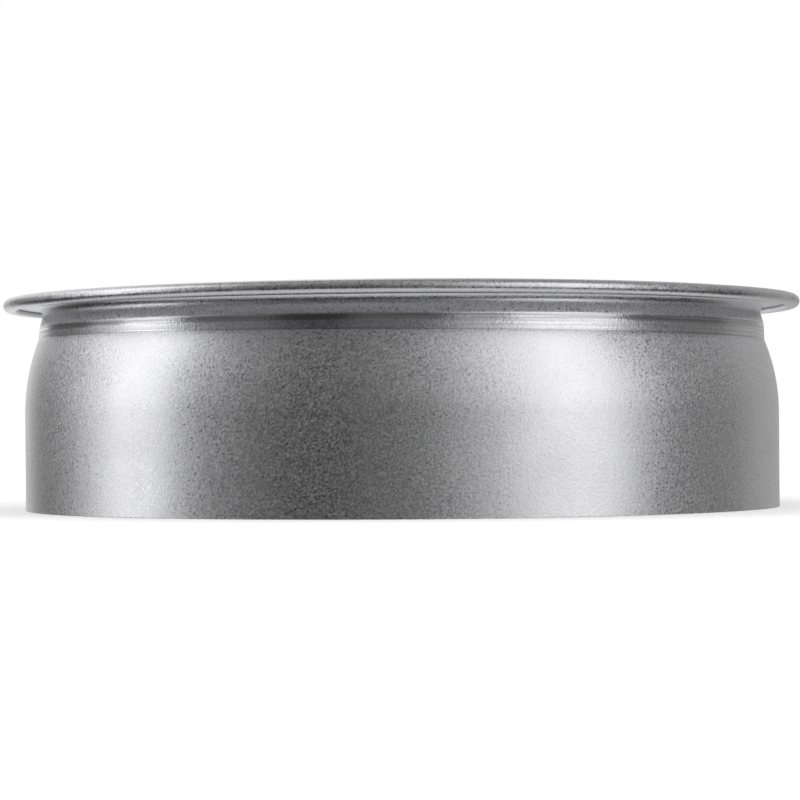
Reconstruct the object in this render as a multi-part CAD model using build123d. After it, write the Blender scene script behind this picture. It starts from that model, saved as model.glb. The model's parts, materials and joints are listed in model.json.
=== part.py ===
"""Plug-in end cap for a round sheet-metal duct.

Two pieces of thin sheet: a collar that slides into the duct, and a plain disc
whose border is hemmed round the collar's flange and stops against the duct.

Frame: the origin is the centre of the open mouth, and +Z runs up the cap's axis
to the closed end. Millimetres and degrees.
"""

from build123d import *
import os
from math import ceil, cos, radians, sin, tan

# The duct and the sheet
DUCT_BORE = 150.0
DUCT_PLAY = 0.15            # gap between the collar's wall and the duct, all round
SHEET = 0.8

# Collar, from the open mouth up
WALL_HEIGHT = 18.6          # straight wall that guides the cap in the duct
SHOULDER_HEIGHT = 14.6      # rounded shoulder that runs in to the neck
SHOULDER_DEPTH = 2.75       # how far the shoulder runs in
LOWER_BAND_HEIGHT = 1.8     # first rolled band of the neck
LOWER_BAND_LEAN = 2.0
UPPER_BAND_HEIGHT = 1.1     # second rolled band
UPPER_BAND_LEAN = 6.0
ROOT_HEIGHT = 4.1           # undercut from the bands to the flange
ROOT_LEAN = 17.0
ROOT_BEND = 2.0             # bend from the undercut to the flange, on its outer side

# Rim: the flange and the hem round it
RIM_OVERHANG = 4.15         # how far the rim stands out past the wall
DROOP_WIDTH = 5.0           # border of the rim that leans down
DROOP_ANGLE = 5.0
HEM_PLAY = 0.05             # room in the hem beyond the flange's own sheet
HEM_RETURN = 2.65           # how far the hem's lip reaches back in from the rim
LIP_OPENING = 3.0           # angle that the pressed lip springs off the flange
FLANGE_END_GAP = 0.15       # from the flange's cut edge to the fold of the hem

# The tight bends are drawn with flats that stay within 0.08 of the round
FLAT_ANGLE = 30.0           # most that one flat turns from the last

WALL_RADIUS = DUCT_BORE / 2 - DUCT_PLAY
RIM_RADIUS = WALL_RADIUS + RIM_OVERHANG
FOLD_RADIUS = (SHEET + HEM_PLAY) / 2
FOLD_CENTRE_RADIUS = RIM_RADIUS - SHEET - FOLD_RADIUS
CREASE_Z = WALL_HEIGHT + SHOULDER_HEIGHT
FLANGE_Z = CREASE_Z + LOWER_BAND_HEIGHT + UPPER_BAND_HEIGHT + ROOT_HEIGHT
TOP_Z = FLANGE_Z + 2 * SHEET


def rim_corner(depth):
    """Corner where a sheet face at this depth below the top starts to droop."""
    return (RIM_RADIUS - DROOP_WIDTH - depth * tan(radians(DROOP_ANGLE / 2)), TOP_Z - depth)


def rim_point(radius, depth):
    """Point at this radius on the drooping part of that face."""
    corner_radius, corner_z = rim_corner(depth)
    return (radius, corner_z - (radius - corner_radius) * tan(radians(DROOP_ANGLE)))


def leaned(start, height, lean):
    """Point reached by going up from start on a line that leans in to the axis."""
    return (start[0] - height * tan(radians(lean)), start[1] + height)


def draw_bend(arc, turn):
    """Draw a tight bend as a run of flats whose corners lie on the arc."""
    flats = ceil(turn / FLAT_ANGLE)
    return Polyline(*[arc @ (step / flats) for step in range(flats + 1)])


def spin(section):
    """Turn a sheet section about the cap's axis."""
    return revolve(section, axis=Axis.Z)


def make_collar():
    """Wall, shoulder, neck and flange, drawn on the outer side and one sheet thick."""
    wall_top = (WALL_RADIUS, WALL_HEIGHT)
    crease = (WALL_RADIUS - SHOULDER_DEPTH, CREASE_Z)
    band_ridge = leaned(crease, LOWER_BAND_HEIGHT, LOWER_BAND_LEAN)
    undercut = leaned(band_ridge, UPPER_BAND_HEIGHT, UPPER_BAND_LEAN)
    root = leaned(undercut, ROOT_HEIGHT, ROOT_LEAN)
    root_turn = 90 + ROOT_LEAN
    root_reach = ROOT_BEND * tan(radians(root_turn / 2))
    root_start = leaned(root, -root_reach * cos(radians(ROOT_LEAN)), ROOT_LEAN)
    root_rise = (-sin(radians(ROOT_LEAN)), cos(radians(ROOT_LEAN)))
    root_arc = JernArc(root_start, root_rise, ROOT_BEND, -root_turn)
    flange_depth = 2 * SHEET
    flange_end = rim_point(FOLD_CENTRE_RADIUS - FLANGE_END_GAP, flange_depth)

    with BuildSketch(Plane.XZ) as section:
        with BuildLine():
            Line((WALL_RADIUS, 0), wall_top)
            TangentArc(wall_top, crease, tangent=(0, 1))
            Polyline(crease, band_ridge, undercut)
            bend = draw_bend(root_arc, root_turn)
            Line(undercut, bend @ 0)
            Polyline(bend @ 1, rim_corner(flange_depth), flange_end)
            offset(amount=SHEET, side=Side.LEFT, kind=Kind.INTERSECTION)
        make_face()
    return spin(section.sketch)


def make_end_disc():
    """Flat disc and hem, drawn on the side that lies on the flange and one sheet thick."""
    droop = radians(DROOP_ANGLE)
    fold_start = rim_point(FOLD_CENTRE_RADIUS + FOLD_RADIUS * sin(droop), SHEET)
    fold_turn = 180 - LIP_OPENING
    fold_arc = JernArc(fold_start, (cos(droop), -sin(droop)), FOLD_RADIUS, -fold_turn)
    lip_slope = radians(LIP_OPENING - DROOP_ANGLE)

    with BuildSketch(Plane.XZ) as section:
        with BuildLine():
            Polyline((0, TOP_Z - SHEET), rim_corner(SHEET), fold_start)
            draw_bend(fold_arc, fold_turn)
            lip_run = (fold_arc @ 1).X - (RIM_RADIUS - HEM_RETURN)
            PolarLine(fold_arc @ 1, lip_run / cos(lip_slope), direction=fold_arc % 1)
            offset(amount=SHEET, side=Side.LEFT, kind=Kind.INTERSECTION)
        make_face()
    return spin(section.sketch)


def main():
    os.makedirs("parts", exist_ok=True)
    export_step(make_collar(), "parts/collar.step")
    export_step(make_end_disc(), "parts/end_disc.step")


if __name__ == "__main__":
    main()
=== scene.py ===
"""Looks of the duct end cap: fine sheet-metal meshes, their finish and a plain studio.

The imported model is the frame. Each of its two nodes is replaced by a mesh turned about the same
axis from the same sheet section, with round bends, a rolled neck and a slightly wrinkled hem.
Section sizes are in millimetres. Everything in the scene is in metres.
"""

import json
import logging
from dataclasses import dataclass
from enum import Enum
from math import acos, atan, ceil, cos, hypot, pi, radians, sin, tan
from typing import Any

import bpy
from mathutils import Euler, Matrix, Vector


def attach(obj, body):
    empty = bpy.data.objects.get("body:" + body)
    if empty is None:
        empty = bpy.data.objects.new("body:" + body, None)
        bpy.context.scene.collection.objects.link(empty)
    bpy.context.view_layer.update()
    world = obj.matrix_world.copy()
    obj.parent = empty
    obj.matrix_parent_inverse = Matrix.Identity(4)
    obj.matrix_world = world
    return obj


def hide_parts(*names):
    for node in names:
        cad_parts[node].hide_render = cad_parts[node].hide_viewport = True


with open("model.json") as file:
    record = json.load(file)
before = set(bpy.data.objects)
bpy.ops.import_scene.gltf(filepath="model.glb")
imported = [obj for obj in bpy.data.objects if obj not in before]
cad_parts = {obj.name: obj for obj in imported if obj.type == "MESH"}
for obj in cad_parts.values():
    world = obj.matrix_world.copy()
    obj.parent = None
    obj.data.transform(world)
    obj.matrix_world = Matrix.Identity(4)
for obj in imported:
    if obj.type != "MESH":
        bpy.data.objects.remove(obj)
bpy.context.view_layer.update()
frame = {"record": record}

MM = 0.001
BODY = "root"
SEED = 7

LOG = logging.getLogger("duct_end_cap")


def linear(hex_colour: str) -> tuple[float, float, float, float]:
    """Turn an sRGB hex colour into the linear colour that shaders use.

    Args:
        hex_colour: Colour such as "#C8C9CA".

    Returns:
        Linear red, green and blue, with an alpha of one.
    """
    values = [int(hex_colour[start:start + 2], 16) / 255 for start in (1, 3, 5)]
    red, green, blue = [
        value / 12.92 if value <= 0.04045 else ((value + 0.055) / 1.055) ** 2.4 for value in values
    ]
    return (red, green, blue, 1.0)


def add_node(
    tree: bpy.types.NodeTree, kind: str, inputs: dict[Any, Any], **settings: Any
) -> bpy.types.Node:
    """Add a node, give it its settings, and set or link its inputs.

    Args:
        tree: Tree that gets the node.
        kind: Type name of the node.
        inputs: Value, or socket to link from, for each input by name or number.
        **settings: Properties of the node.

    Returns:
        The new node.
    """
    node = tree.nodes.new(kind)
    for name, value in settings.items():
        setattr(node, name, value)
    for key, value in inputs.items():
        if isinstance(value, bpy.types.NodeSocket):
            tree.links.new(value, node.inputs[key])
        else:
            node.inputs[key].default_value = value
    return node


def mount_sizes(name: str) -> dict[str, float]:
    """Give the sizes of one of the part's mounts, in millimetres."""
    return next(mount["dims"] for mount in frame["record"]["mounts"] if mount["name"] == name)


class Zone(Enum):
    """What the tools did to a stretch of sheet: its burnish and the crazing in its bend, with the shade
    painted into its bend.
    """

    # The third share is shade painted into the middle of a bend: full in the crease at the foot of the
    # neck, a little on the hem's fold
    PLAIN = (0.0, 0.0, 0.0)
    CUT = (0.2, 0.0, 0.0)
    FOLDED = (0.05, 0.0, 0.2)
    CRAZED = (0.05, 1.0, 0.2)
    WIPED = (0.5, 0.0, 1.0)
    PRESSED = (0.1, 0.0, 0.0)
    ROLLED = (1.0, 0.0, 0.0)

    def __init__(self, burnish: float, craze: float, bend_shade: float) -> None:
        """Keep the three shares, each from 0 to 1, by name."""
        self.burnish, self.craze, self.bend_shade = burnish, craze, bend_shade


class Side(Enum):
    """Side of the drawn line that the sheet's thickness lies on."""

    LEFT = 1
    RIGHT = -1


@dataclass(frozen=True)
class Corner:
    """A corner of a section.

    Attributes:
        at: Distance from the axis and height, in millimetres.
        bend: Radius of the bend on the drawn side, in millimetres; 0 at a cut end is the shears' own.
        zone: Zone of the bend and of the run that leaves the corner.
    """

    at: Vector
    bend: float = 0.0
    zone: Zone = Zone.PLAIN


@dataclass(frozen=True)
class SectionPoint:
    """A point of a finished section, with the masks that the mesh carries.

    Attributes:
        at: Distance from the axis and height, in millimetres.
        zone: Zone that the point lies in.
        crest: How near the point is to the middle of its bend, from 0 to 1.
    """

    at: Vector
    zone: Zone
    crest: float


@dataclass(frozen=True)
class SheetSection:
    """Section of a bent sheet, drawn on its outer side.

    Attributes:
        drawn: Corners of the drawn side, from one cut end to the other or from the axis.
        side: Side that the thickness lies on.
        thickness: Thickness of the sheet, in millimetres.
        edge_round: Radius left on the corners of a cut edge, in millimetres.
        ring: Whether the section stands clear of the axis and so closes on itself.
    """

    drawn: list[Corner]
    side: Side
    thickness: float
    edge_round: float
    ring: bool

    # How finely bends and runs are divided; lengths are in millimetres
    FACET_ANGLE = radians(9.0)
    LONGEST_FACET = 0.9
    LONGEST_RUN = 2.6
    HOLDS = (0.08, 0.3)  # points this far from the ends of a run keep it shaded flat
    FULL_BEND = 0.98  # share of its room that a bend takes, so that it stays clear of the next

    def outline(self) -> list[Corner]:
        """Follow the whole sheet: the drawn side, then the far side back.

        Returns:
            Corners in order, each with the radius of its own bend.
        """
        count = len(self.drawn)
        near: list[Corner] = []
        far: list[Corner] = []
        for index, corner in enumerate(self.drawn):
            before = corner.at - self.drawn[index - 1].at if index else None
            after = self.drawn[index + 1].at - corner.at if index + 1 < count else None
            first = (before or after).normalized()
            second = (after or before).normalized()
            normals = [Vector((-run.y, run.x)) * self.side.value for run in (first, second)]
            shift = (normals[0] + normals[1]) / (1 + normals[0].dot(normals[1])) * self.thickness
            if before is None or after is None:
                near.append(Corner(corner.at, corner.bend or self.edge_round, corner.zone))
                far.append(Corner(corner.at + shift, self.edge_round))
                continue
            turn = first.x * second.y - first.y * second.x
            inner = turn * self.side.value > 0
            bend = corner.bend - self.thickness if inner else corner.bend + self.thickness
            near.append(corner)
            far.append(Corner(corner.at + shift, bend))
        if self.ring:
            far[0] = Corner(far[0].at, self.edge_round, Zone.CUT)
        return near + far[::-1]

    def bend_points(self, before: Corner, corner: Corner, after: Corner) -> list[SectionPoint]:
        """Round a corner off with small facets.

        Args:
            before: Corner that the line comes from.
            corner: Corner to round.
            after: Corner that the line goes to.

        Returns:
            Points along the bend, its two ends included.
        """
        back = (before.at - corner.at).normalized()
        ahead = (after.at - corner.at).normalized()
        turn = pi - acos(max(-1.0, min(1.0, back.dot(ahead))))
        reach = corner.bend * tan(turn / 2)
        middle = (back + ahead).normalized()
        centre = corner.at + middle * hypot(reach, corner.bend)
        start = corner.at + back * reach - centre
        end = corner.at + ahead * reach - centre
        facets = max(2, ceil(turn / self.FACET_ANGLE), ceil(turn * corner.bend / self.LONGEST_FACET))
        points = []
        for step in range(facets + 1):
            share = step / facets
            arm = start * sin((1 - share) * turn) / sin(turn) + end * sin(share * turn) / sin(turn)
            points.append(SectionPoint(centre + arm, corner.zone, sin(share * pi)))
        return points

    def run_points(self, start: SectionPoint, end: SectionPoint) -> list[SectionPoint]:
        """Divide a straight run, with points close to each end to keep the flat shaded flat.

        Args:
            start: Last point of the bend before.
            end: First point of the bend after.

        Returns:
            Points between the two.
        """
        length = (end.at - start.at).length
        near = [hold / length for hold in self.HOLDS if 2 * hold < length]
        first = near[-1] if near else 0.5
        steps = ceil(length * (1 - 2 * first) / self.LONGEST_RUN)
        middle = [first + (1 - 2 * first) * step / steps for step in range(1, steps)]
        shares = near + middle + [1 - share for share in reversed(near)]
        return [SectionPoint(start.at.lerp(end.at, share), start.zone, 0.0) for share in shares]

    def points(self) -> list[SectionPoint]:
        """Make the section's points, with the metal on their left.

        Returns:
            Points in order; on a ring the last repeats the first.
        """
        corners = self.outline()
        bends: list[list[SectionPoint]] = []
        for index, corner in enumerate(corners):
            following = corners[(index + 1) % len(corners)]
            if not self.ring and index in (0, len(corners) - 1):
                bends.append([SectionPoint(corner.at, corner.zone, 0.0)])
            else:
                bends.append(self.bend_points(corners[index - 1], corner, following))
        points: list[SectionPoint] = []
        for index, bend in enumerate(bends):
            points += bend
            last = index + 1 == len(bends)
            if not last or self.ring:
                points += self.run_points(bend[-1], bends[(index + 1) % len(bends)][0])
        if self.ring:
            points.append(points[0])
        return points if self.side is Side.LEFT else points[::-1]


@dataclass(frozen=True)
class Lathe:
    """Turns a section into a ring of sheet, with the small unevenness of a rolled piece.

    Attributes:
        segments: Steps round the axis.
        ripple: How far the sheet strays from round, in millimetres.
        ripple_length: Length of those waves, in millimetres.
        wrinkle: How far the free lip of a hem strays, in millimetres.
        wrinkle_length: Length of those wrinkles, in millimetres.
        sway: How far a crease that was rolled askew drops on the +X side, in millimetres.
        blend: Distance over which one zone of the sheet fades into the next, in millimetres.
    """

    segments: int = 360
    ripple: float = 0.06
    ripple_length: float = 26.0
    wrinkle: float = 0.12
    wrinkle_length: float = 7.0
    sway: float = 0.55
    blend: float = 0.25

    MASKS = ("burnish", "craze", "bend_shade", "along", "lip", "sway", "cut")
    WELD = 2e-7  # metres
    EDGE_LEVEL = 0.9  # where the cut mask is higher, the face is a cut edge

    def tree(self) -> bpy.types.GeometryNodeTree:
        """Build the node tree that turns a section and dresses the mesh.

        Returns:
            The tree, with its sizes as named inputs.
        """
        tree = bpy.data.node_groups.new("turned_sheet", "GeometryNodeTree")
        sockets = {
            "Section": "NodeSocketGeometry",
            "Segments": "NodeSocketInt",
            "Ripple": "NodeSocketFloat",
            "Ripple Length": "NodeSocketFloat",
            "Wrinkle": "NodeSocketFloat",
            "Wrinkle Length": "NodeSocketFloat",
            "Sway": "NodeSocketFloat",
            "Seed": "NodeSocketFloat",
            "Sheet": "NodeSocketMaterial",
            "Cut Edge": "NodeSocketMaterial",
        }
        for name, kind in sockets.items():
            tree.interface.new_socket(name, in_out="INPUT", socket_type=kind)
        tree.interface.new_socket("Mesh", in_out="OUTPUT", socket_type="NodeSocketGeometry")
        given = add_node(tree, "NodeGroupInput", {}).outputs
        masks = {
            name: add_node(
                tree, "GeometryNodeInputNamedAttribute", {"Name": name}, data_type="FLOAT"
            ).outputs["Attribute"]
            for name in self.MASKS
        }
        place = add_node(tree, "GeometryNodeInputPosition", {}).outputs[0]

        # A grid with a row for each point of the section, turned into place with its faces outwards
        size = add_node(tree, "GeometryNodeAttributeDomainSize", {"Geometry": given["Section"]})
        columns = add_node(
            tree, "ShaderNodeMath", {0: given["Segments"], 1: 1.0}, operation="ADD"
        ).outputs[0]
        mesh = add_node(
            tree, "GeometryNodeMeshGrid", {"Vertices X": size.outputs["Point Count"], "Vertices Y": columns}
        ).outputs["Mesh"]
        index = add_node(tree, "GeometryNodeInputIndex", {}).outputs[0]
        ratio = add_node(tree, "ShaderNodeMath", {0: index, 1: columns}, operation="DIVIDE").outputs[0]
        row = add_node(tree, "ShaderNodeMath", {0: ratio}, operation="FLOOR").outputs[0]
        column = add_node(tree, "ShaderNodeMath", {0: index, 1: columns}, operation="MODULO").outputs[0]
        share = add_node(
            tree, "ShaderNodeMath", {0: column, 1: given["Segments"]}, operation="DIVIDE"
        ).outputs[0]
        angle = add_node(tree, "ShaderNodeMath", {0: share, 1: 2 * pi}, operation="MULTIPLY").outputs[0]
        for name, mask in masks.items():
            value = add_node(
                tree,
                "GeometryNodeSampleIndex",
                {"Geometry": given["Section"], "Value": mask, "Index": row},
                data_type="FLOAT",
            ).outputs[0]
            mesh = add_node(
                tree,
                "GeometryNodeStoreNamedAttribute",
                {"Geometry": mesh, "Name": name, "Value": value},
                data_type="FLOAT",
                domain="POINT",
            ).outputs[0]
        drawn = add_node(
            tree,
            "GeometryNodeSampleIndex",
            {"Geometry": given["Section"], "Value": place, "Index": row},
            data_type="FLOAT_VECTOR",
        ).outputs[0]
        turned = add_node(
            tree, "ShaderNodeVectorRotate", {"Vector": drawn, "Angle": angle}, rotation_type="Z_AXIS"
        ).outputs[0]
        mesh = add_node(tree, "GeometryNodeSetPosition", {"Geometry": mesh, "Position": turned}).outputs[0]
        mesh = add_node(
            tree, "GeometryNodeMergeByDistance", {"Geometry": mesh, "Distance": self.WELD}
        ).outputs[0]
        mesh = add_node(tree, "GeometryNodeFlipFaces", {"Mesh": mesh}).outputs[0]

        # Unevenness: the crease sways up and down, the sheet and its lip stray inwards
        level = add_node(
            tree, "ShaderNodeVectorMath", {0: place, 1: (1.0, 1.0, 0.0)}, operation="MULTIPLY"
        ).outputs[0]
        outward = add_node(tree, "ShaderNodeVectorMath", {0: level}, operation="NORMALIZE").outputs[0]
        side = add_node(tree, "ShaderNodeSeparateXYZ", {0: outward}).outputs["X"]
        swayed = add_node(
            tree, "ShaderNodeMath", {0: masks["sway"], 1: given["Sway"]}, operation="MULTIPLY"
        ).outputs[0]
        drop = add_node(tree, "ShaderNodeMath", {0: side, 1: swayed}, operation="MULTIPLY").outputs[0]
        rise = add_node(tree, "ShaderNodeMath", {0: 0.0, 1: drop}, operation="SUBTRACT").outputs[0]
        offset = add_node(tree, "ShaderNodeCombineXYZ", {"Z": rise}).outputs[0]
        mesh = add_node(tree, "GeometryNodeSetPosition", {"Geometry": mesh, "Offset": offset}).outputs[0]
        waves = (
            (given["Ripple"], given["Ripple Length"], 1.0),
            (given["Wrinkle"], given["Wrinkle Length"], masks["lip"]),
        )
        for reach, length, weight in waves:
            often = add_node(tree, "ShaderNodeMath", {0: 1.0, 1: length}, operation="DIVIDE").outputs[0]
            noise = add_node(
                tree,
                "ShaderNodeTexNoise",
                {"Vector": place, "W": given["Seed"], "Scale": often, "Detail": 1.0},
                noise_dimensions="4D",
            ).outputs[0]
            depth = add_node(tree, "ShaderNodeMath", {0: noise, 1: reach}, operation="MULTIPLY").outputs[0]
            depth = add_node(tree, "ShaderNodeMath", {0: depth, 1: weight}, operation="MULTIPLY").outputs[0]
            stray = add_node(tree, "ShaderNodeMath", {0: 0.0, 1: depth}, operation="SUBTRACT").outputs[0]
            offset = add_node(
                tree, "ShaderNodeVectorMath", {0: outward, "Scale": stray}, operation="SCALE"
            ).outputs[0]
            mesh = add_node(
                tree, "GeometryNodeSetPosition", {"Geometry": mesh, "Offset": offset}
            ).outputs[0]

        mesh = add_node(
            tree, "GeometryNodeSetShadeSmooth", {"Geometry": mesh, "Shade Smooth": True}
        ).outputs[0]
        mesh = add_node(tree, "GeometryNodeRealizeInstances", {"Geometry": mesh}).outputs[0]
        mesh = add_node(
            tree, "GeometryNodeSetMaterial", {"Geometry": mesh, "Material": given["Sheet"]}
        ).outputs[0]
        cut = add_node(
            tree, "FunctionNodeCompare", {0: masks["cut"], 1: self.EDGE_LEVEL}, operation="GREATER_THAN"
        ).outputs[0]
        mesh = add_node(
            tree,
            "GeometryNodeSetMaterial",
            {"Geometry": mesh, "Selection": cut, "Material": given["Cut Edge"]},
        ).outputs[0]
        add_node(tree, "NodeGroupOutput", {0: mesh})
        return tree

    def turn(
        self,
        name: str,
        points: list[SectionPoint],
        loose: dict[str, list[float]],
        sheet: bpy.types.Material,
        edge: bpy.types.Material,
    ) -> bpy.types.Object:
        """Turn a section into a finished mesh object.

        Args:
            name: Name of the piece.
            points: Points of the section.
            loose: For each kind of unevenness that the piece has, its share at each point.
            sheet: Material of the sheet.
            edge: Material of its cut edges.

        Returns:
            The object, with a plain mesh and no modifier.
        """
        section = bpy.data.meshes.new(name + "_section")
        places = [(point.at.x * MM, 0.0, point.at.y * MM) for point in points]
        section.from_pydata(places, [], [])
        along = [0.0]
        for before, point in zip(points, points[1:]):
            along.append(along[-1] + (point.at - before.at).length)
        masks = {
            "burnish": self.faded([point.zone.burnish for point in points], along),
            "craze": [point.zone.craze * point.crest for point in points],
            # Painted shade, darkest in the middle of a bend
            "bend_shade": [point.zone.bend_shade * point.crest for point in points],
            "along": along,
            "cut": [float(point.zone is Zone.CUT) for point in points],
            **loose,
        }
        for mask in self.MASKS:
            values = masks.get(mask, [0.0] * len(points))
            section.attributes.new(mask, "FLOAT", "POINT").data.foreach_set("value", values)
        piece = bpy.data.objects.new(name, section)
        bpy.context.scene.collection.objects.link(piece)

        modifier = piece.modifiers.new("turned_sheet", "NODES")
        modifier.node_group = self.tree()
        values = {
            "Segments": self.segments,
            "Ripple": self.ripple * MM,
            "Ripple Length": self.ripple_length * MM,
            "Wrinkle": self.wrinkle * MM,
            "Wrinkle Length": self.wrinkle_length * MM,
            "Sway": self.sway * MM,
            "Seed": float(SEED),
            "Sheet": sheet,
            "Cut Edge": edge,
        }
        for socket in modifier.node_group.interface.items_tree:
            if socket.name in values:
                modifier[socket.identifier] = values[socket.name]
        graph = bpy.context.evaluated_depsgraph_get()
        mesh = bpy.data.meshes.new_from_object(
            piece.evaluated_get(graph), preserve_all_data_layers=True, depsgraph=graph
        )
        piece.modifiers.clear()
        piece.data = mesh
        mesh.name = name
        used = {face.material_index for face in mesh.polygons}
        for slot in reversed(range(len(mesh.materials))):
            if slot not in used:
                mesh.materials.pop(index=slot)
        bpy.data.meshes.remove(section)
        return piece

    def faded(self, values: list[float], along: list[float]) -> list[float]:
        """Let a mask fade from one zone into the next.

        Args:
            values: Value of the mask at each point.
            along: How far along the section each point lies, in millimetres.

        Returns:
            The faded values.
        """
        faded = []
        for centre in along:
            weights = [max(0.0, 1 - abs(other - centre) / self.blend) for other in along]
            total = sum(weight * value for weight, value in zip(weights, values))
            faded.append(total / sum(weights))
        return faded


@dataclass(frozen=True)
class CoatedSheet:
    """Hot-dip coated steel sheet: a satin grey metal with a fine, slightly slanted speckle.

    The speckle is a change of gloss as much as of colour, and small pits are smoother than the sheet
    round them. So both show where the sheet reflects something dark, and fade in a bright reflection.
    Rollers leave the sheet smoother and darker, with fine lines round the axis, and the coat crazes
    where the sheet is folded tight. Shade is painted into the middle of the crease and of the hem's fold.

    Attributes:
        glossy_colour: Colour of the glossiest flecks.
        dull_colour: Colour of the dullest.
        rolled_colour: Colour that rollers leave.
        streak_colour: Colour of the streaks in it.
        pit_and_shade_colour: Colour of the small pits, of the crazing, and of the shade painted into bends.
        glossy: Roughness of the glossiest flecks.
        dull: Roughness of the dullest.
        burnished: Roughness that rollers leave.
        pitted: Roughness in the pits, where the coat froze smooth.
        fleck: Width of a fleck, in millimetres.
        slant: Lean of the flecks, in degrees.
        pit: Width of the patches that hold pits, in millimetres.
        cloud: Size of the broad changes in gloss, in millimetres.
        tool_line: Spacing of the roller's lines, in millimetres.
        tool_arc: Length of those lines, in millimetres.
        craze: Size of the crazing, in millimetres.
        craze_run: Length of a crazed stretch, in millimetres.
        relief: Height of the flecks, in millimetres.
        line_relief: Depth of the roller's lines, in millimetres.
    """

    glossy_colour: str = "#C7C7CA"
    dull_colour: str = "#EDEDEE"
    rolled_colour: str = "#B0B0B2"
    streak_colour: str = "#868688"
    pit_and_shade_colour: str = "#929295"
    glossy: float = 0.31
    dull: float = 0.50
    burnished: float = 0.15
    pitted: float = 0.16
    fleck: float = 0.42
    slant: float = 16.0
    pit: float = 0.45
    cloud: float = 14.0
    tool_line: float = 0.22
    tool_arc: float = 30.0
    craze: float = 0.5
    craze_run: float = 9.0
    relief: float = 0.024
    line_relief: float = 0.003

    # Values of a noise that each pattern runs between
    NOISE_SPAN = (0.3, 0.7)
    PIT_SPAN = (0.52, 0.85)
    CRAZE_SPAN = (0.42, 0.56)
    CRAZE_RUN_SPAN = (0.42, 0.58)
    STREAK_SPAN = (0.38, 0.62)

    # Shares of a roughness that clouds and roller lines change it between
    CLOUD_SHARES = (0.94, 1.06)
    LINE_SHARES = (0.6, 1.6)

    def material(self) -> bpy.types.Material:
        """Build the sheet's material.

        Returns:
            The material.
        """
        material = bpy.data.materials.new("hot_dip_coated_steel_sheet")
        material.use_nodes = True
        tree = material.node_tree
        tree.nodes.clear()
        place = add_node(tree, "ShaderNodeTexCoord", {}).outputs["Object"]
        masks = {
            name: add_node(tree, "ShaderNodeAttribute", {}, attribute_name=name).outputs["Fac"]
            for name in ("burnish", "craze", "bend_shade", "along")
        }

        # Flecks that lean, and broad clouds, change the gloss of the plain sheet
        low, high = self.NOISE_SPAN
        level = add_node(tree, "ShaderNodeSeparateXYZ", {0: place}).outputs["Z"]
        slant_rate = -tan(radians(self.slant)) / (mount_sizes("duct_wall")["r_mm"] * MM)
        turn = add_node(tree, "ShaderNodeMath", {0: level, 1: slant_rate}, operation="MULTIPLY").outputs[0]
        lay = add_node(
            tree, "ShaderNodeVectorRotate", {"Vector": place, "Angle": turn}, rotation_type="Z_AXIS"
        ).outputs[0]
        fleck = add_node(
            tree, "ShaderNodeTexNoise", {"Vector": lay, "Scale": 1 / (self.fleck * MM), "Detail": 1.0}
        ).outputs[0]
        cloud = add_node(
            tree, "ShaderNodeTexNoise", {"Vector": place, "Scale": 1 / (self.cloud * MM), "Detail": 2.0}
        ).outputs[0]
        share = add_node(
            tree, "ShaderNodeMapRange", {"Value": fleck, "From Min": low, "From Max": high}
        ).outputs[0]
        gloss = add_node(
            tree, "ShaderNodeMapRange", {"Value": share, "To Min": self.glossy, "To Max": self.dull}
        ).outputs[0]
        broad = add_node(
            tree,
            "ShaderNodeMapRange",
            {
                "Value": cloud,
                "From Min": low,
                "From Max": high,
                "To Min": self.CLOUD_SHARES[0],
                "To Max": self.CLOUD_SHARES[1],
            },
        ).outputs[0]
        plain = add_node(tree, "ShaderNodeMath", {0: gloss, 1: broad}, operation="MULTIPLY").outputs[0]

        # Lines round the axis where rollers ran, drawn as coarse as the render needs to show them
        scaled = add_node(
            tree, "ShaderNodeVectorMath", {0: place, "Scale": 1 / (self.tool_arc * MM)}, operation="SCALE"
        ).outputs[0]
        arc = add_node(tree, "ShaderNodeSeparateXYZ", {0: scaled}).outputs
        across = add_node(
            tree, "ShaderNodeMath", {0: masks["along"], 1: 1 / self.tool_line}, operation="MULTIPLY"
        ).outputs[0]
        line_place = add_node(
            tree, "ShaderNodeCombineXYZ", {"X": arc["X"], "Y": arc["Y"], "Z": across}
        ).outputs[0]
        lines = add_node(
            tree, "ShaderNodeTexNoise", {"Vector": line_place, "Scale": 1.0, "Detail": 2.0}
        ).outputs[0]
        smooth = add_node(
            tree,
            "ShaderNodeMapRange",
            {
                "Value": lines,
                "From Min": low,
                "From Max": high,
                "To Min": self.burnished * self.LINE_SHARES[0],
                "To Max": self.burnished * self.LINE_SHARES[1],
            },
        ).outputs[0]
        roughness = add_node(
            tree, "ShaderNodeMapRange", {"Value": masks["burnish"], "To Min": plain, "To Max": smooth}
        ).outputs[0]
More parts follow.
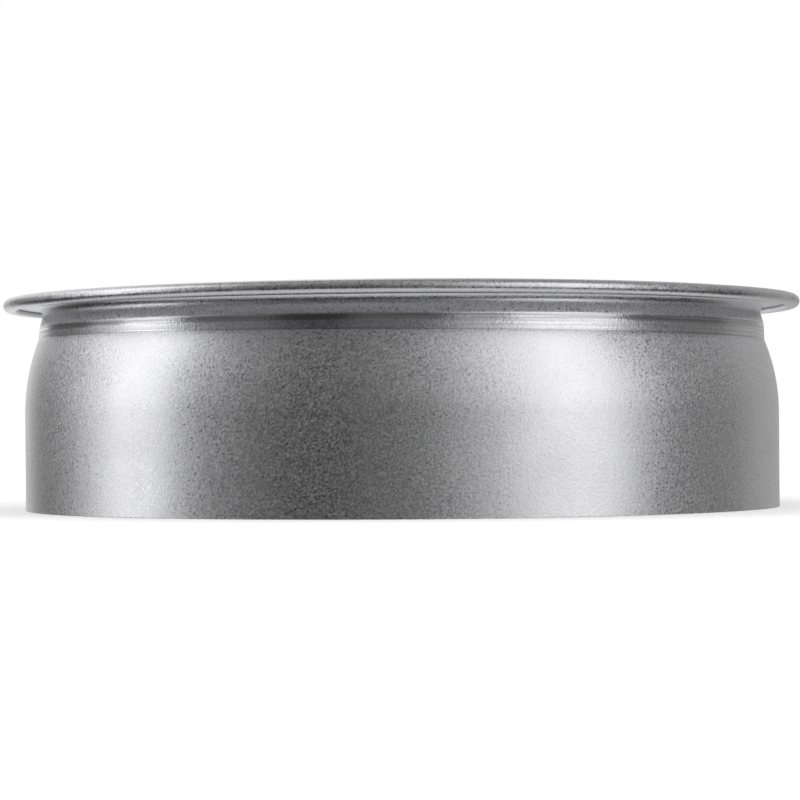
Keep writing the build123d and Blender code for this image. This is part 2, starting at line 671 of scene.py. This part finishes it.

        # Smooth, darker pits all over, stretches of crazing on the fold, and shade painted into bends
        pits = add_node(
            tree, "ShaderNodeTexNoise", {"Vector": lay, "Scale": 1 / (self.pit * MM), "Detail": 2.0}
        ).outputs[0]
        low, high = self.PIT_SPAN
        pit = add_node(
            tree, "ShaderNodeMapRange", {"Value": pits, "From Min": low, "From Max": high}
        ).outputs[0]
        roughness = add_node(
            tree, "ShaderNodeMapRange", {"Value": pit, "To Min": roughness, "To Max": self.pitted}
        ).outputs[0]
        cracks = add_node(
            tree, "ShaderNodeTexNoise", {"Vector": place, "Scale": 1 / (self.craze * MM), "Detail": 2.0}
        ).outputs[0]
        low, high = self.CRAZE_SPAN
        crack = add_node(
            tree, "ShaderNodeMapRange", {"Value": cracks, "From Min": low, "From Max": high}
        ).outputs[0]
        runs = add_node(
            tree, "ShaderNodeTexNoise", {"Vector": place, "Scale": 1 / (self.craze_run * MM), "Detail": 1.0}
        ).outputs[0]
        low, high = self.CRAZE_RUN_SPAN
        run = add_node(
            tree,
            "ShaderNodeMapRange",
            {"Value": runs, "From Min": low, "From Max": high, "To Max": masks["craze"]},
        ).outputs[0]
        crack = add_node(tree, "ShaderNodeMath", {0: crack, 1: run}, operation="MULTIPLY").outputs[0]
        dark = add_node(tree, "ShaderNodeMath", {0: pit, 1: crack}, operation="MAXIMUM").outputs[0]
        # Painted shade in the middle of bends takes the pits' dark colour too
        dark = add_node(
            tree, "ShaderNodeMath", {0: dark, 1: masks["bend_shade"]}, operation="MAXIMUM"
        ).outputs[0]

        # Colours of the plain coat and of the rolled bands, with the pits, crazing and painted shade dark
        # on both
        coat = add_node(
            tree,
            "ShaderNodeMix",
            {"Factor": share, "A": linear(self.glossy_colour), "B": linear(self.dull_colour)},
            data_type="RGBA",
        ).outputs["Result"]
        low, high = self.STREAK_SPAN
        streak = add_node(
            tree, "ShaderNodeMapRange", {"Value": lines, "From Min": low, "From Max": high}
        ).outputs[0]
        rolled = add_node(
            tree,
            "ShaderNodeMix",
            {"Factor": streak, "A": linear(self.rolled_colour), "B": linear(self.streak_colour)},
            data_type="RGBA",
        ).outputs["Result"]
        sheet_colour = add_node(
            tree,
            "ShaderNodeMix",
            {"Factor": masks["burnish"], "A": coat, "B": rolled},
            data_type="RGBA",
        ).outputs["Result"]
        colour = add_node(
            tree,
            "ShaderNodeMix",
            {"Factor": dark, "A": sheet_colour, "B": linear(self.pit_and_shade_colour)},
            data_type="RGBA",
        ).outputs["Result"]

        # Relief of the flecks and of the roller's lines
        bump = add_node(
            tree, "ShaderNodeBump", {"Height": fleck, "Distance": self.relief * MM, "Strength": 1.0}
        ).outputs[0]
        depth = add_node(
            tree, "ShaderNodeMath", {0: lines, 1: masks["burnish"]}, operation="MULTIPLY"
        ).outputs[0]
        bump = add_node(
            tree,
            "ShaderNodeBump",
            {"Height": depth, "Distance": self.line_relief * MM, "Strength": 1.0, "Normal": bump},
        ).outputs[0]
        shader = add_node(
            tree,
            "ShaderNodeBsdfPrincipled",
            {"Base Color": colour, "Metallic": 1.0, "Roughness": roughness, "Normal": bump},
        )
        add_node(tree, "ShaderNodeOutputMaterial", {"Surface": shader.outputs[0]})
        return material


@dataclass(frozen=True)
class ShearedEdge:
    """Cut edge of the sheet: torn steel with coat smeared over it, matt and light.

    Attributes:
        colour: Colour of the edge.
        metallic: How much of it mirrors as metal does; the torn grain scatters the rest evenly.
        roughness: Roughness of the edge.
    """

    colour: str = "#CFCECC"
    metallic: float = 0.4
    roughness: float = 0.6

    def material(self) -> bpy.types.Material:
        """Build the edge's material.

        Returns:
            The material.
        """
        material = bpy.data.materials.new("sheared_steel_edge")
        material.use_nodes = True
        shader = material.node_tree.nodes["Principled BSDF"]
        shader.inputs["Base Color"].default_value = linear(self.colour)
        shader.inputs["Metallic"].default_value = self.metallic
        shader.inputs["Roughness"].default_value = self.roughness
        return material


@dataclass(frozen=True)
class SheetMetal:
    """Sizes that the collar and the end disc share, in millimetres and degrees.

    Attributes:
        sheet: Thickness of the sheet.
        edge_round: Rounding that the shears leave on a cut edge.
        top: Height of the closed end.
        rim_radius: Outside of the rim.
        droop_width: Border of the rim that leans down.
        droop: Angle that it leans by.
        droop_bend: Radius of the bend where it starts, on the disc's outer face.
        hem_play: Room in the hem beyond the flange's own sheet.
    """

    sheet: float = 0.8
    edge_round: float = 0.1
    top: float = 41.8
    rim_radius: float = 79.0
    droop_width: float = 5.0
    droop: float = 5.0
    droop_bend: float = 2.5
    hem_play: float = 0.05

    def rim_corner(self, depth: float) -> Vector:
        """Give the corner where a face at this depth below the top starts to droop."""
        inset = self.droop_width + depth * tan(radians(self.droop / 2))
        return Vector((self.rim_radius - inset, self.top - depth))

    def rim_point(self, radius: float, depth: float) -> Vector:
        """Give the point at this radius on the drooping part of that face."""
        corner = self.rim_corner(depth)
        return Vector((radius, corner.y - (radius - corner.x) * tan(radians(self.droop))))

    def fold_radius(self) -> float:
        """Give the inner radius of the hem's fold."""
        return (self.sheet + self.hem_play) / 2

    def fold_centre_radius(self) -> float:
        """Give the distance of the fold's centre from the axis."""
        return self.rim_radius - self.sheet - self.fold_radius()


def settle(piece: bpy.types.Object, node: str) -> bpy.types.Object:
    """Let a finished piece stand for its node and ride on the part's body.

    Args:
        piece: Finished piece.
        node: Node that it replaces.

    Returns:
        The same piece.
    """
    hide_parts(node)
    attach(piece, BODY)
    LOG.info("%s: %d faces", piece.name, len(piece.data.polygons))
    return piece


def heading(angle: float) -> Vector:
    """Give the unit step at this angle above the outward direction, in degrees."""
    return Vector((cos(radians(angle)), sin(radians(angle))))


@dataclass(frozen=True)
class Band:
    """A straight band of the neck.

    Attributes:
        height: Height of the band, in millimetres.
        lean: Angle that it leans in by, in degrees.
        zone: What the tools did to it.
    """

    height: float
    lean: float
    zone: Zone

    def top(self, start: Vector) -> Vector:
        """Give the point where the band ends, from the point where it starts."""
        return start + Vector((-self.height * tan(radians(self.lean)), self.height))


@dataclass(frozen=True)
class Collar:
    """Collar that slides into the duct: wall, shoulder, rolled neck and flange.

    Attributes:
        metal: Sizes shared with the end disc.
        shoulder_height: Height of the rounded shoulder above the wall.
        shoulder_depth: How far the shoulder runs in.
        bands: Straight bands of the neck, from the crease over the shoulder up.
        crease_bend: Radius of the crease.
        band_bend: Radius of the ridges between the bands.
        root_bend: Radius of the bend from the undercut to the flange.
        flange_end_gap: From the flange's cut edge to the fold of the hem.
    """

    metal: SheetMetal
    shoulder_height: float = 14.6
    shoulder_depth: float = 2.75
    bands: tuple[Band, ...] = (
        # The first band's zone also paints shade into the middle of the crease below it
        Band(1.8, 2.0, Zone.WIPED),
        Band(1.1, 6.0, Zone.ROLLED),
        Band(4.1, 17.0, Zone.PRESSED),
    )
    crease_bend: float = 0.85
    band_bend: float = 0.9
    root_bend: float = 2.0
    flange_end_gap: float = 0.15

    NODE = "collar"

    def section(self) -> SheetSection:
        """Draw the collar's section on its outer side, from the mouth up.

        Returns:
            The section.
        """
        wall = mount_sizes("duct_wall")
        metal = self.metal
        half_turn = atan(self.shoulder_depth / self.shoulder_height)
        reach = hypot(self.shoulder_depth, self.shoulder_height) / 2 / cos(half_turn)
        corners = [
            Corner(Vector((wall["r_mm"], 0.0))),
            Corner(
                Vector((wall["r_mm"], wall["length_mm"] + reach)),
                SheetSection.FULL_BEND * reach / tan(half_turn),
            ),
        ]
        at = Vector((wall["r_mm"] - self.shoulder_depth, self.crease()))
        bend = self.crease_bend
        for band in self.bands:
            corners.append(Corner(at, bend, band.zone))
            at = band.top(at)
            bend = self.band_bend
        depth = 2 * metal.sheet
        flange_end = metal.rim_point(metal.fold_centre_radius() - self.flange_end_gap, depth)
        corners += [
            Corner(at, self.root_bend, Zone.PRESSED),
            Corner(metal.rim_corner(depth), metal.droop_bend - depth, Zone.PRESSED),
            Corner(flange_end, zone=Zone.CUT),
        ]
        return SheetSection(corners, Side.LEFT, metal.sheet, metal.edge_round, ring=True)

    def crease(self) -> float:
        """Give the height of the crease over the shoulder."""
        return mount_sizes("duct_wall")["length_mm"] + self.shoulder_height

    def sway(self, height: float) -> float:
        """Tell how much of the crease's sway reaches a height.

        Args:
            height: Height above the mouth, in millimetres.

        Returns:
            1 at the crease, down to 0 at the foot of the shoulder and over the first band.
        """
        below = (height - self.crease() + self.shoulder_height) / self.shoulder_height
        above = (self.crease() + self.bands[0].height - height) / self.bands[0].height
        return max(0.0, min(below, above))

    def build(self, lathe: Lathe, sheet: bpy.types.Material, edge: bpy.types.Material) -> bpy.types.Object:
        """Turn the collar and set it in its node's place.

        Args:
            lathe: Lathe that turns the section.
            sheet: Material of the sheet.
            edge: Material of its cut edges.

        Returns:
            The collar's object.
        """
        points = self.section().points()
        loose = {"sway": [self.sway(point.at.y) for point in points]}
        return settle(lathe.turn("collar_sheet", points, loose, sheet, edge), self.NODE)


@dataclass(frozen=True)
class EndDisc:
    """Disc that closes the end, with its border hemmed round the collar's flange.

    Attributes:
        metal: Sizes shared with the collar.
        hem_return: How far the hem's lip reaches back in from the rim.
        lip_opening: Angle that the pressed lip springs off the flange.
        lip_round: Radius that the press rolls the lip's lower edge over by, with its coat.
        lip_edge: Rounding left on the lip's upper edge.
        fold_zones: Zones of the fold, from the outer face to the lip.
    """

    metal: SheetMetal
    hem_return: float = 2.65
    lip_opening: float = 1.0
    lip_round: float = 0.68
    lip_edge: float = 0.04
    fold_zones: tuple[Zone, ...] = (Zone.FOLDED, Zone.CRAZED, Zone.FOLDED)

    NODE = "end_disc"

    def section(self) -> SheetSection:
        """Draw the disc's section on its outer face, from the axis to the lip.

        Returns:
            The section.
        """
        metal = self.metal
        bend = metal.fold_radius() + metal.sheet
        turn = (180 - self.lip_opening) / len(self.fold_zones)
        reach = bend * tan(radians(turn / 2))
        way = -metal.droop
        at = metal.rim_point(metal.fold_centre_radius() + bend * sin(radians(metal.droop)), 0.0)
        corners = [Corner(Vector((0.0, metal.top))), Corner(metal.rim_corner(0.0), metal.droop_bend)]
        for zone in self.fold_zones:
            at = at + heading(way) * reach
            corners.append(Corner(at, SheetSection.FULL_BEND * bend, zone))
            way -= turn
            at = at + heading(way) * reach
        lip = heading(way)
        upper_edge = at.x + metal.sheet * lip.y
        tip = at + lip * (upper_edge - metal.rim_radius + self.hem_return) / -lip.x
        corners.append(Corner(tip, self.lip_round))
        return SheetSection(corners, Side.RIGHT, metal.sheet, self.lip_edge, ring=False)

    def build(self, lathe: Lathe, sheet: bpy.types.Material, edge: bpy.types.Material) -> bpy.types.Object:
        """Turn the disc and set it in its node's place.

        Args:
            lathe: Lathe that turns the section.
            sheet: Material of the sheet.
            edge: Material of its cut edges.

        Returns:
            The disc's object.
        """
        section = self.section()
        points = section.points()
        tip = section.drawn[-1].at
        lip = [max(0.0, 1 - (point.at - tip).length / self.hem_return) for point in points]
        return settle(lathe.turn("end_disc_sheet", points, {"lip": lip}, sheet, edge), self.NODE)


def square(side: float, height: float) -> list[tuple[float, float, float]]:
    """Give the corners of a level square about the axis, in metres."""
    reach = side / 2
    return [(x * reach, y * reach, height) for x, y in ((-1, -1), (1, -1), (1, 1), (-1, 1))]


def reflected(
    name: str,
    places: list[tuple[float, float, float]],
    faces: list[tuple[int, ...]],
    glow: float,
) -> bpy.types.Object:
    """Make an evenly lit surface that only reflections show.

    Args:
        name: Name of the surface.
        places: Its corners.
        faces: Its faces, as numbers of corners.
        glow: How bright it is, where 1 is white.

    Returns:
        The staged object.
    """
    mesh = bpy.data.meshes.new(name)
    mesh.from_pydata(places, [], faces)
    material = bpy.data.materials.new(name)
    material.use_nodes = True
    tree = material.node_tree
    tree.nodes.clear()
    face = add_node(tree, "ShaderNodeEmission", {"Strength": glow})
    add_node(tree, "ShaderNodeOutputMaterial", {"Surface": face.outputs[0]})
    mesh.materials.append(material)
    card = bpy.data.objects.new(name, mesh)
    bpy.context.scene.collection.objects.link(card)
    card.visible_camera = False
    card.visible_diffuse = False
    card.visible_shadow = False
    return card


@dataclass(frozen=True)
class StudioCard:
    """A curved card that stands round the part and shows only in its reflections.

    Attributes:
        name: Name of the card.
        left: Azimuth of its left edge, in degrees from the camera towards +X.
        right: Azimuth of its right edge.
        glow: How bright it is, where 1 is white.
        low: Elevation of its lower edge, in degrees.
        high: Elevation of its upper edge.
    """

    name: str
    left: float
    right: float
    glow: float
    low: float = -6.0
    high: float = 50.0

    RADIUS = 1.6
    STEP = 5.0

    def build(self) -> bpy.types.Object:
        """Stand the card up.

        Returns:
            The card's object.
        """
        count = max(2, ceil((self.right - self.left) / self.STEP))
        places = []
        for step in range(count + 1):
            azimuth = radians(self.left + (self.right - self.left) * step / count)
            for elevation in (self.low, self.high):
                height = self.RADIUS * tan(radians(elevation))
                places.append((self.RADIUS * sin(azimuth), -self.RADIUS * cos(azimuth), height))
        faces = [(2 * step, 2 * step + 1, 2 * step + 3, 2 * step + 2) for step in range(count)]
        return reflected(self.name, places, faces, self.glow)


@dataclass(frozen=True)
class StudioSheet:
    """A level square sheet over or under the part that shows only in its reflections.

    Attributes:
        name: Name of the sheet.
        size: Length of its sides, in metres.
        height: How high it lies, in metres.
        glow: How bright it is, where 1 is white.
    """

    name: str
    size: float
    height: float
    glow: float

    def build(self) -> bpy.types.Object:
        """Lay the sheet out.

        Returns:
            The sheet's object.
        """
        return reflected(self.name, square(self.size, self.height), [(0, 1, 2, 3)], self.glow)


@dataclass(frozen=True)
class Softbox:
    """A rectangular soft lamp that faces the part.

    Attributes:
        name: Name of the lamp.
        azimuth: Where it stands, in degrees from the camera towards +X.
        height: Height of its centre, in metres.
        distance: Distance from the axis, in metres.
        width: Width of its face, in metres.
        tall: Height of its face, in metres.
        radiance: How bright the face is, where 1 is white.
    """

    name: str
    azimuth: float
    height: float
    distance: float
    width: float
    tall: float
    radiance: float

    def build(self) -> bpy.types.Object:
        """Hang the lamp.

        Returns:
            The lamp's object.
        """
        lamp = bpy.data.lights.new(self.name, "AREA")
        lamp.shape = "RECTANGLE"
        lamp.size = self.width
        lamp.size_y = self.tall
        lamp.energy = self.radiance * pi * self.width * self.tall
        softbox = bpy.data.objects.new(self.name, lamp)
        azimuth = radians(self.azimuth)
        softbox.location = (self.distance * sin(azimuth), -self.distance * cos(azimuth), self.height)
        softbox.rotation_euler = (pi / 2, 0.0, azimuth)
        bpy.context.scene.collection.objects.link(softbox)
        return softbox


@dataclass(frozen=True)
class Studio:
    """White floor and surroundings, soft lamps and dim cards.

    Attributes:
        floor_size: Side of the floor, in metres.
        floor_colour: Colour of the floor.
        surroundings: Colour behind and around it.
        softboxes: Lamps.
        cards: Cards that the metal reflects.
    """

    floor_size: float = 12.0
    floor_colour: str = "#FFFFFF"
    surroundings: str = "#FFFFFF"
    softboxes: tuple[Softbox, ...] = (
        Softbox(
            "left_softbox", azimuth=-82.5, height=0.87, distance=1.3, width=0.51, tall=2.1, radiance=2.15
        ),
        Softbox(
            "right_softbox", azimuth=51.0, height=0.69, distance=1.3, width=0.84, tall=1.73, radiance=1.68
        ),
    )
    cards: tuple[StudioCard | StudioSheet, ...] = (
        # Name, azimuth of the left and right edges, and glow
        StudioCard("left_back_card", -180.0, -145.0, 1.15, low=-32.0),
        StudioCard("left_dark_card", -145.0, -110.0, 0.20, high=20.0),
        StudioCard("left_upper_card", -145.0, -110.0, 0.95, low=20.0),
        StudioCard("left_dim_card", -110.0, -94.0, 0.75, high=20.0),
        StudioCard("left_bright_card", -110.0, -94.0, 1.60, low=20.0),
        StudioCard("behind_left_softbox", -94.0, -71.0, 0.08),
        StudioCard("front_left_card", -71.0, -38.0, 0.25),
        StudioCard("front_dark_card", -38.0, -15.0, 0.08),
        StudioCard("front_dim_card", -15.0, 15.0, 0.20),
        StudioCard("front_right_card", 15.0, 33.0, 0.72),
        StudioCard("behind_right_softbox", 33.0, 69.0, 0.15),
        StudioCard("right_dark_card", 69.0, 119.0, 0.25),
        StudioCard("right_back_card", 119.0, 150.0, 0.50, low=-32.0),
        StudioCard("back_card", 150.0, 180.0, 0.60, low=-32.0),
        StudioCard("low_dark_card", -145.0, 119.0, 0.02, low=-32.0, high=-6.0),
        StudioSheet("ground", size=3.4, height=-1.0, glow=0.85),
        StudioSheet("ceiling", size=3.4, height=1.9, glow=0.33),
    )

    def build(self) -> None:
        """Set the studio up."""
        world = bpy.data.worlds.new("white_surroundings")
        world.use_nodes = True
        background = world.node_tree.nodes["Background"]
        background.inputs["Color"].default_value = linear(self.surroundings)
        bpy.context.scene.world = world
        for item in (*self.softboxes, *self.cards):
            item.build()
        self.lay_floor()

    def lay_floor(self) -> bpy.types.Object:
        """Lay the floor that the part stands on.

        Returns:
            The floor's object.
        """
        mesh = bpy.data.meshes.new("floor")
        mesh.from_pydata(square(self.floor_size, 0.0), [], [(0, 1, 2, 3)])
        material = bpy.data.materials.new("matt_white_floor")
        material.use_nodes = True
        shader = material.node_tree.nodes["Principled BSDF"]
        # Matt all over, so that it stays evenly white with no sheen
        shader.inputs["Base Color"].default_value = linear(self.floor_colour)
        shader.inputs["Roughness"].default_value = 1.0
        shader.inputs["Specular IOR Level"].default_value = 0.0
        mesh.materials.append(material)
        floor = bpy.data.objects.new("floor", mesh)
        bpy.context.scene.collection.objects.link(floor)
        floor.visible_glossy = False
        return floor


@dataclass(frozen=True)
class PhotoCamera:
    """Camera at the photograph's viewpoint.

    Attributes:
        distance: From the part's axis, in metres.
        height: Above the floor, in metres.
        lens: Focal length on the default sensor, in millimetres.
        horizon_row: Row of the photograph at the camera's own height, in pixels.
        axis_column: Column of the part's axis, in pixels.
        roll: Turn of the camera about its line of sight, in degrees.
    """

    distance: float = 0.546
    height: float = 0.0162
    lens: float = 122.6
    horizon_row: float = 426.0
    axis_column: float = 402.0
    roll: float = -0.38

    SENSOR = 36.0
    PHOTO_SIDE = 800.0
    CLIP_START = 0.01

    def build(self) -> bpy.types.Object:
        """Place the camera and make it the scene's own.

        Returns:
            The camera's object.
        """
        data = bpy.data.cameras.new("photo_camera")
        data.sensor_width = self.SENSOR
        data.lens = self.lens
        data.clip_start = self.CLIP_START
        focal_pixels = self.lens / self.SENSOR * self.PHOTO_SIDE
        pitch = atan((self.horizon_row - self.PHOTO_SIDE / 2) / focal_pixels)
        yaw = atan((self.axis_column - self.PHOTO_SIDE / 2) / focal_pixels)
        camera = bpy.data.objects.new("photo_camera", data)
        camera.location = (0.0, -self.distance, self.height)
        look = Euler((pi / 2 + pitch, 0.0, yaw)).to_matrix() @ Matrix.Rotation(radians(self.roll), 3, "Z")
        camera.rotation_euler = look.to_euler()
        bpy.context.scene.collection.objects.link(camera)
        bpy.context.scene.camera = camera
        return camera


def main() -> None:
    """Build the cap, its studio and its camera."""
    logging.basicConfig(level=logging.INFO, format="%(name)s: %(message)s")
    bpy.context.scene.view_settings.view_transform = "Standard"
    sheet = CoatedSheet().material()
    edge = ShearedEdge().material()
    metal = SheetMetal()
    lathe = Lathe()
    Collar(metal).build(lathe, sheet, edge)
    EndDisc(metal).build(lathe, sheet, edge)
    Studio().build()
    PhotoCamera().build()


if __name__ == "__main__":
    main()
